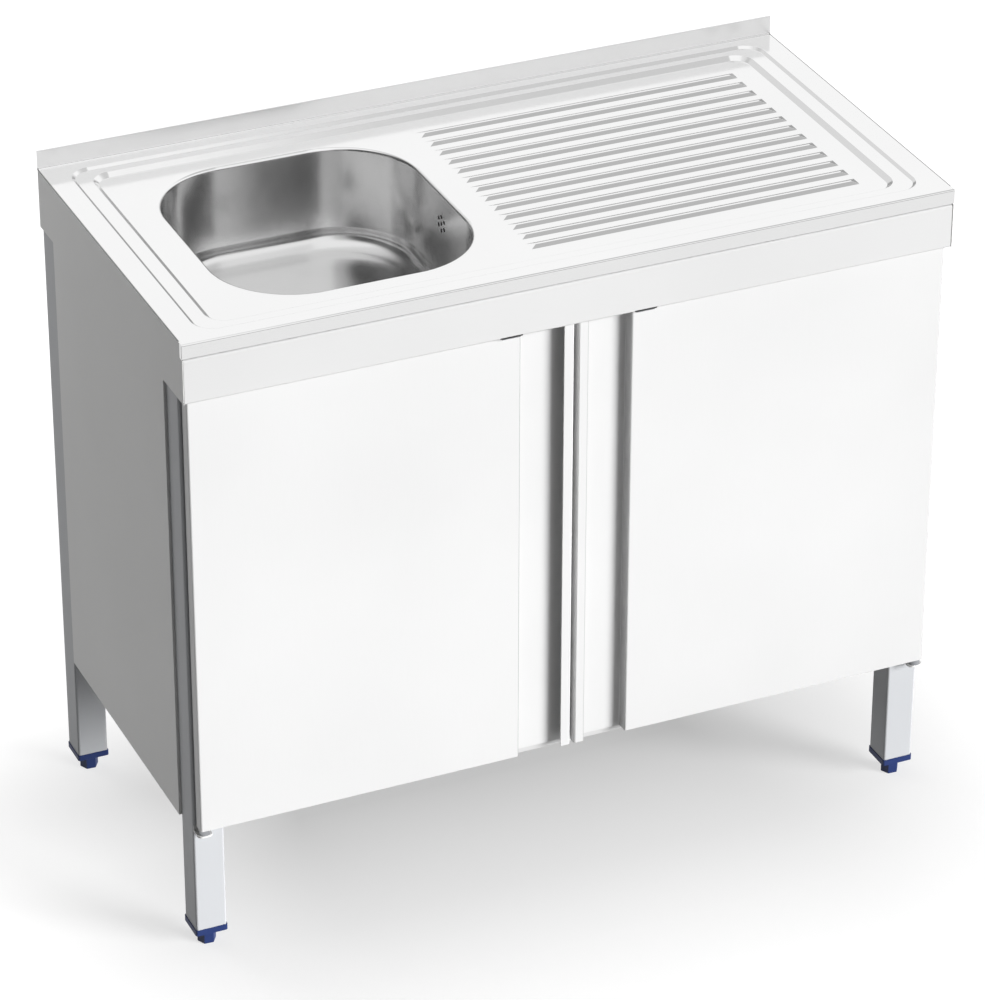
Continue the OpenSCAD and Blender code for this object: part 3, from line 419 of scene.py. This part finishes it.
def dressNode(name, s):
    node = nodes[name]
    piece = bpy.data.objects.new(name + "Dressed", node.data.copy())
    scene.collection.objects.link(piece)
    openMesh(piece)
    bpy.ops.mesh.remove_doubles(threshold=s["weld"])
    bpy.ops.mesh.dissolve_limited(angle_limit=math.radians(s["flat"]))
    if name in s["creasedNodes"]:
        pick(piece, "EDGE", lambda e: s["creaseFrom"] < turnOf(e) < s["creaseTo"])
        bpy.ops.mesh.bevel(offset=s["crease"], segments=s["creaseSteps"], affect="EDGES", clamp_overlap=True)
    radius = s["cutEdge"]
    for ending, wider in s["moulded"].items():
        if name.endswith(ending):
            radius = wider
    pick(piece, "EDGE", lambda e: turnOf(e) > s["cutFrom"])
    bpy.ops.mesh.bevel(offset=radius, segments=s["cutSteps"], affect="EDGES", clamp_overlap=True)
    finished(piece, name + "Dressed", paintFor(name), node["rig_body"], [name])


for name in nodes:
    if name not in edgeSet["notDressed"] and not name.endswith("_foot"):
        dressNode(name, edgeSet)
print("sheet pieces dressed")


# Bowl: a rounded mouth, carried down its wall and over the bend by insets
basinSet = {
    "sheet": 1.0 * mm,
    "cornerRadius": 105 * mm,
    "cornerSteps": 24,
    "sideSteps": 11,
    "bend": 26 * mm,            # wall to floor, inwards
    "bendSteps": 10,
    "bead": (0.5 * mm, 3 * mm), # shoulder at the wall's foot, inwards and down
    "beadSteps": 5,
    "floorRise": 6.5 * mm,      # floor above the strainer's recess
    "floorRing": 4 * mm,        # each of two flat rings between the bend and the dish
    "dishRadius": 130 * mm,
    "dishDrop": 4 * mm,
    "dishSteps": 6,
    "recessRadius": 46 * mm,
    "recessDrop": 2.5 * mm,
    "mouthRadius": 30.5 * mm,
    "holeRadius": 2.75 * mm,
    "holePitch": 9.4 * mm,
    "holeDrop": 36 * mm,        # centre of the holes below the bowl's upper edge
    "holeSides": 24,
    "cutterLength": 8 * mm,
    "smooth": 40,               # degrees up to which its faces are shaded as one
}


def insetDown(inwards, down):
    bpy.ops.mesh.inset(thickness=inwards, depth=-down, use_even_offset=True)


def makeBasin(s):
    low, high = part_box("basin")
    t = s["sheet"]
    middle = (low + high) / 2
    floorZ = low.z + t + s["floorRise"]
    bpy.ops.object.select_all(action="DESELECT")
    bpy.ops.mesh.primitive_plane_add(size=1, location=(middle.x, middle.y, high.z))
    basin = bpy.context.object
    basin.scale = (high.x - low.x - 2 * t, high.y - low.y - 2 * t, 1)
    bpy.ops.object.transform_apply(location=True, rotation=False, scale=True)
    openMesh(basin, "VERT")
    bpy.ops.mesh.bevel(offset=s["cornerRadius"], segments=s["cornerSteps"], affect="VERTICES")
    longEdge = 3 * s["cornerRadius"] / s["cornerSteps"]
    pick(basin, "EDGE", lambda e: e.calc_length() > longEdge)
    bpy.ops.mesh.subdivide(number_cuts=s["sideSteps"])
    bpy.ops.mesh.select_mode(type="FACE")
    bpy.ops.mesh.select_all(action="SELECT")
    # Wall, then the shoulder as an S, then the bend as a quarter of an ellipse
    insetDown(0, high.z - floorZ - s["bend"])
    beadIn, beadDown = s["bead"]
    for i in range(s["beadSteps"]):
        a, b = (math.pi * k / s["beadSteps"] for k in (i, i + 1))
        insetDown(beadIn * (math.cos(a) - math.cos(b)) / 2, beadDown / s["beadSteps"])
    bendIn, bendDown = s["bend"] - beadIn, s["bend"] - beadDown
    for i in range(s["bendSteps"]):
        a, b = (math.pi / 2 * k / s["bendSteps"] for k in (i, i + 1))
        insetDown(bendIn * (math.cos(a) - math.cos(b)), bendDown * (math.sin(b) - math.sin(a)))
    # Floor: the outline turns into a circle, falls to the recess and ends at the mouth
    insetDown(s["floorRing"], 0)
    insetDown(s["floorRing"], 0)
    bpy.ops.transform.tosphere(value=1)
    ring = [v.co.copy() for v in bmesh.from_edit_mesh(basin.data).verts if v.select]
    reach = sum((v.xy - middle.xy).length for v in ring) / len(ring)
    toDish = s["dishRadius"] / reach
    bpy.ops.transform.resize(value=(toDish, toDish, 1))
    width = (s["dishRadius"] - s["recessRadius"]) / s["dishSteps"]
    for i in range(s["dishSteps"]):
        a, b = (math.pi * k / s["dishSteps"] for k in (i, i + 1))
        insetDown(width, s["dishDrop"] * (math.cos(a) - math.cos(b)) / 2)
    insetDown(s["recessDrop"], s["recessDrop"])
    insetDown(s["recessRadius"] - s["recessDrop"] - s["mouthRadius"], 0)
    bpy.ops.mesh.delete(type="FACE")
    applied(basin, "SOLIDIFY", thickness=t, offset=-1, use_even_offset=True)
    bpy.ops.object.select_all(action="DESELECT")
    places = [(0, 0)] + [(s["holePitch"], math.radians(60 * k)) for k in range(6)]
    holes = []
    for reach, turn in places:
        y, z = middle.y + reach * math.sin(turn), high.z - s["holeDrop"] + reach * math.cos(turn)
        bpy.ops.mesh.primitive_cylinder_add(
            vertices=s["holeSides"], radius=s["holeRadius"], depth=s["cutterLength"],
            rotation=(0, math.pi / 2, 0), location=(high.x - t / 2, y, z))
        holes.append(bpy.context.object)
    for hole in holes:
        hole.select_set(True)
    bpy.ops.object.join()
    cutter = bpy.context.object
    applied(basin, "BOOLEAN", object=cutter, operation="DIFFERENCE", solver="EXACT")
    bpy.data.objects.remove(cutter)
    finished(basin, "bowlPressing", "bowl", "cabinet", ["basin"], s["smooth"])


makeBasin(basinSet)
print("bowl pressed")


# Levelling feet: a chamfered hexagon under a threaded stem
footSet = {
    "corner": 12.0 * mm,
    "chamfer": 1.0 * mm,
    "chamferSteps": 2,
    "turn": math.radians(-3.5),
    "coreRadius": 5.15 * mm,
    "threadRadius": 6.0 * mm,
    "pitch": 1.75 * mm,
    "threadFoot": 1.3 * mm,     # width of the thread where it meets the core
    "steps": 20,                # per turn
    "hexHeight": 21.7 * mm,
    "leadIn": 1.5 * mm,         # cone at the stem's end
    "stemSides": 32,
    "stemSunk": 1 * mm,         # how far the stem starts inside the hexagon
    "threadSunk": 0.3 * mm,     # how far the thread starts inside the core
    "near": 0.1 * mm,           # heights nearer than this are the same
    "smooth": 30,
}


def makeFoot(name, s):
    low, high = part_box(name)
    x, y = ((low + high) / 2).xy
    bpy.ops.object.select_all(action="DESELECT")
    bpy.ops.mesh.primitive_cylinder_add(
        vertices=6, radius=s["corner"], depth=s["hexHeight"], location=(x, y, low.z + s["hexHeight"] / 2),
        rotation=(0, 0, s["turn"] + math.radians(30)))
    hexagon = bpy.context.object
    openMesh(hexagon)
    pick(hexagon, "EDGE", lambda e: abs(e.verts[0].co.z - e.verts[1].co.z) < s["near"])
    bpy.ops.mesh.bevel(offset=s["chamfer"], segments=s["chamferSteps"], affect="EDGES")
    # Core of the stem with its cone
    stemLow = low.z + s["hexHeight"] - s["stemSunk"]
    coreHigh = high.z - s["leadIn"]
    bpy.ops.object.mode_set(mode="OBJECT")
    bpy.ops.mesh.primitive_cylinder_add(
        vertices=s["stemSides"], radius=s["coreRadius"], depth=coreHigh - stemLow,
        location=(x, y, (coreHigh + stemLow) / 2))
    core = bpy.context.object
    openMesh(core)
    top = (coreHigh - stemLow) / 2
    pick(core, "FACE", lambda f: f.normal.z > 0.9 and f.calc_center_median().z > top - s["near"])
    bpy.ops.mesh.inset(thickness=s["leadIn"], depth=s["leadIn"])
    # Thread: a triangle wound round the core
    half = s["threadFoot"] / 2
    bpy.ops.object.mode_set(mode="OBJECT")
    bpy.ops.object.select_all(action="DESELECT")
    bpy.ops.mesh.primitive_circle_add(
        vertices=3, radius=1 * mm, fill_type="NOTHING", location=(x, y, stemLow + 2 * half))
    thread = bpy.context.object
    inner = s["coreRadius"] - s["threadSunk"]
    corners = ((inner, 0, -half), (s["threadRadius"], 0, 0), (inner, 0, half))
    for vertex, place in zip(thread.data.vertices, corners):
        vertex.co = place
    turns = int((coreHigh - stemLow - 3 * half) / s["pitch"])
    applied(thread, "SCREW", screw_offset=s["pitch"], iterations=turns, axis="Z",
            steps=s["steps"], render_steps=s["steps"])
    openMesh(thread, "EDGE")
    bpy.ops.mesh.fill_holes(sides=3)
    bpy.ops.mesh.select_all(action="SELECT")
    bpy.ops.mesh.normals_make_consistent(inside=False)
    bpy.ops.object.mode_set(mode="OBJECT")
    activate(hexagon)
    core.select_set(True)
    thread.select_set(True)
    bpy.ops.object.join()
    finished(hexagon, name + "Screw", "blue", nodes[name]["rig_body"], [name], s["smooth"])


for name in nodes:
    if name.endswith("_foot"):
        makeFoot(name, footSet)
print("feet turned")


# Overflow hose: one rib, repeated, laid along its route and given a wall
hoseSet = {
    "sides": 28,
    "cadReach": 12.99 * mm,     # corner radius of the frame's eight-sided hose
    "bend": 48 * mm,
    "pitch": 4 * mm,
    "ribs": 43,
    # One rib: height along the hose and radius, in millimetres
    "profile": ((0, 10.4), (0.7, 10.45), (1.15, 11.2), (1.55, 11.9), (2.0, 12.15),
                (2.45, 11.9), (2.85, 11.2), (3.3, 10.45), (4, 10.4)),
    "wall": 1.1 * mm,
    "endSteps": 6,              # rings in each plain end
    "weld": 0.02 * mm,
    "near": 0.1 * mm,
    "routeSteps": 48,
    "roundHandle": 0.5523,      # handle of a quarter circle, times its radius
    "smooth": 50,
}


def makeHose(s):
    low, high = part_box("overflow_hose")
    x, top = high.x - s["cadReach"], high.z
    end, level = low.x, low.z + s["cadReach"]
    y = (low.y + high.y) / 2
    down, along = top - level - s["bend"], x - s["bend"] - end
    total = down + along + s["bend"] * math.pi / 2
    plain = (total - s["ribs"] * s["pitch"]) / 2
    # The rib as an open tube that starts at its own origin and runs up z
    bpy.ops.object.select_all(action="DESELECT")
    first = s["profile"][0]
    bpy.ops.mesh.primitive_circle_add(vertices=s["sides"], radius=first[1] * mm, fill_type="NOTHING")
    hose = bpy.context.object
    openMesh(hose, "EDGE")
    for (z0, r0), (z1, r1) in zip(s["profile"], s["profile"][1:]):
        bpy.ops.mesh.extrude_region_move(TRANSFORM_OT_translate={"value": (0, 0, (z1 - z0) * mm)})
        bpy.ops.transform.resize(value=(r1 / r0, r1 / r0, 1))
    applied(hose, "ARRAY", count=s["ribs"], use_relative_offset=False, use_constant_offset=True,
            constant_offset_displace=(0, 0, s["pitch"]), use_merge_vertices=True, merge_threshold=s["weld"])
    length = s["ribs"] * s["pitch"]
    for at, way in ((0, -1), (length, 1)):
        openMesh(hose, "EDGE")
        pick(hose, "EDGE", lambda e: e.is_boundary and all(abs(v.co.z - at) < s["near"] for v in e.verts))
        rise = way * plain / s["endSteps"]
        for step in range(s["endSteps"]):
            bpy.ops.mesh.extrude_region_move(TRANSFORM_OT_translate={"value": (0, 0, rise)})
    openMesh(hose, "VERT")
    bpy.ops.transform.translate(value=(0, 0, plain))
    bpy.ops.mesh.normals_make_consistent(inside=False)
    bpy.ops.object.mode_set(mode="OBJECT")
    # Its route: down, round a quarter bend, and level to the waste
    bend = s["bend"]
    handle = bend * s["roundHandle"]
    route = bpy.data.curves.new("hoseRoute", "CURVE")
    route.dimensions = "3D"
    route.resolution_u = s["routeSteps"]
    line = route.splines.new("BEZIER")
    line.bezier_points.add(3)
    stops = (
        ((0, 0, 0), (0, 0, down / 3), (0, 0, -down / 3)),
        ((0, 0, -down), (0, 0, -down * 2 / 3), (0, 0, -down - handle)),
        ((-bend, 0, -down - bend), (-bend + handle, 0, -down - bend), (-bend - along / 3, 0, -down - bend)),
        ((end - x, 0, level - top), (end - x + along / 3, 0, level - top),
         (end - x - along / 3, 0, level - top)),
    )
    for point, (co, before, after) in zip(line.bezier_points, stops):
        point.handle_left_type = point.handle_right_type = "FREE"
        point.co, point.handle_left, point.handle_right = co, before, after
    guide = bpy.data.objects.new("hoseRoute", route)
    scene.collection.objects.link(guide)
    guide.location = hose.location = (x, y, top)
    bpy.context.view_layer.update()
    applied(hose, "CURVE", object=guide, deform_axis="POS_Z")
    bpy.data.objects.remove(guide)
    applied(hose, "SOLIDIFY", thickness=s["wall"], offset=-1, use_even_offset=True)
    finished(hose, "hoseRibbed", "white", "cabinet", ["overflow_hose"], s["smooth"])


makeHose(hoseSet)
print("hose laid")


# Floor, world and lamps
lightSet = {
    "fill": 0.05,               # even light from all round
    # What the steel mirrors is a white room with darker patches. Each has its shade, and the
    # parts of the heading over which it sets in.
    "patches": (
        (0.64, ("Z", 0.60, 0.86), ("X", 0.305, 0.345)),     # overhead on the right
        (0.80, ("Z", 0.60, 0.86), ("Y", -0.05, 0.2)),       # overhead at the rear
        (0.35, ("Z", 0.36, 0.16)),                          # along the horizon and below it
        (0.75, ("X", 0.0, -0.15), ("Y", 0.2, 0.5)),         # behind on the left
        (0.60, ("X", -0.1, -0.3), ("Y", -0.1, -0.4), ("Z", 0.85, 0.65)),    # in front on the left
        (0.15, ("X", -0.35, -0.60), ("Z", 0.85, 0.65)),     # far to the left
    ),
    "floorSize": 14,
    "floorShade": 0.30,
    "floorMirrored": 0.7,       # how bright the steel sees the floor
    # The floor carries a painted shadow: its own glow is grey under the cabinet and turns white with the
    # distance from the shadow's core
    "core": (0.273, 0.0, 0.110),    # its reach to the sides, the front and the rear
    "quicker": (1.454, 1.0, 2.777), # how much sooner the floor whitens that way
    "glow": 0.341,                  # its own glow in the painted shadow's core
    "whiteAt": 0.813,
    "power": 0.851,                 # below 1, it whitens fastest near the core
    # Low sunlight from the front right, which puts one side of each grip channel in the shade
    "sun": {"heading": 42, "height": 15, "spread": 28, "strength": 6.05},
    "lamps": {                  # place, aim, size and watts
        "rear": ((-2.2, 3.2, 1.0), (0, 0, 0.4), (1.4, 1.0), 36),
    },
}


def lightWorld(s):
    world = bpy.data.worlds.new("studio")
    scene.world = world
    world.use_nodes = True
    tree = world.node_tree

    def add(kind, operation, *values):
        made = tree.nodes.new(kind)
        if kind == "ShaderNodeMath":
            made.operation = operation
        else:
            made.interpolation_type = operation
        for socket, value in zip(made.inputs, values):
            if isinstance(value, bpy.types.NodeSocket):
                tree.links.new(value, socket)
            else:
                socket.default_value = value
        return made.outputs[0]

    path = tree.nodes.new("ShaderNodeLightPath").outputs
    heading = tree.nodes.new("ShaderNodeTexCoord")
    split = tree.nodes.new("ShaderNodeSeparateXYZ")
    tree.links.new(heading.outputs["Generated"], split.inputs[0])
    room = 1.0
    for shade, *reach in s["patches"]:
        patch = 1.0
        for axis, low, high in reach:
            reached = add("ShaderNodeMapRange", "SMOOTHSTEP", split.outputs[axis], low, high)
            patch = add("ShaderNodeMath", "MULTIPLY", patch, reached)
        shaded = add("ShaderNodeMapRange", "LINEAR", patch, 0.0, 1.0, 1.0, shade)
        room = add("ShaderNodeMath", "MULTIPLY", room, shaded)
    mirrored = add("ShaderNodeMath", "MAXIMUM", path["Is Glossy Ray"], path["Is Transmission Ray"])
    light = add("ShaderNodeMapRange", "LINEAR", mirrored, 0.0, 1.0, s["fill"], room)
    light = add("ShaderNodeMath", "MAXIMUM", light, path["Is Camera Ray"])
    back = tree.nodes["Background"]
    back.inputs["Color"].default_value = (1, 1, 1, 1)
    tree.links.new(light, back.inputs["Strength"])


def areaLamp(name, place, aim, size, power):
    data = bpy.data.lights.new(name, "AREA")
    data.shape = "RECTANGLE"
    data.size, data.size_y = size
    data.energy = power
    lamp = bpy.data.objects.new(name, data)
    lamp.visible_glossy = False
    scene.collection.objects.link(lamp)
    away = Vector(place) - Vector(aim)
    lamp.matrix_world = Matrix.Translation(place) @ away.to_track_quat("Z", "Y").to_matrix().to_4x4()


def sunLamp(heading, height, spread, strength):
    data = bpy.data.lights.new("sun", "SUN")
    data.angle = math.radians(spread)
    data.energy = strength
    lamp = bpy.data.objects.new("sun", data)
    lamp.visible_glossy = False
    scene.collection.objects.link(lamp)
    az, el = math.radians(heading), math.radians(height)
    towards = Vector((math.sin(az) * math.cos(el), -math.cos(az) * math.cos(el), math.sin(el)))
    lamp.matrix_world = towards.to_track_quat("Z", "Y").to_matrix().to_4x4()


def layFloor(s):
    bpy.ops.object.select_all(action="DESELECT")
    bpy.ops.mesh.primitive_plane_add(size=s["floorSize"])
    floor = bpy.context.object
    floor.name = "studioFloor"
    p = Paint("studioWhite")
    shade = s["floorShade"]
    p.set(Base_Color=(shade, shade, shade, 1), Roughness=1.0, Specular_IOR_Level=0.0)
    path = p.add("ShaderNodeLightPath", {}).out.node.outputs
    glossy, through, camera = (Sock(p, path[f"Is {ray} Ray"]) for ray in ("Glossy", "Transmission", "Camera"))
    seen = camera.math("MAXIMUM", glossy.math("MAXIMUM", through) * s["floorMirrored"])
    x, y, z = p.axes()
    side, front, rear = s["core"]
    sideways = (x.math("ABSOLUTE") - side).math("MAXIMUM", 0.0) * s["quicker"][0]
    forwards = (y * -1.0 - front) * s["quicker"][1]
    lengthways = forwards.math("MAXIMUM", (y - rear) * s["quicker"][2]).math("MAXIMUM", 0.0)
    distance = (sideways * sideways + lengthways * lengthways).math("SQRT")
    # Painted shadow: the floor's own glow is grey near the cabinet and white further out
    away = distance.over(0.0, s["whiteAt"]).math("POWER", s["power"])
    glow = s["glow"]
    p.set(Emission_Color=p.mix(away, (glow, glow, glow, 1), (1, 1, 1, 1)), Emission_Strength=seen)
    floor.data.materials.append(p.material)


lightWorld(lightSet)
for name, lamp in lightSet["lamps"].items():
    areaLamp(name + "Lamp", *lamp)
sunLamp(**lightSet["sun"])
layFloor(lightSet)
print("studio lit")
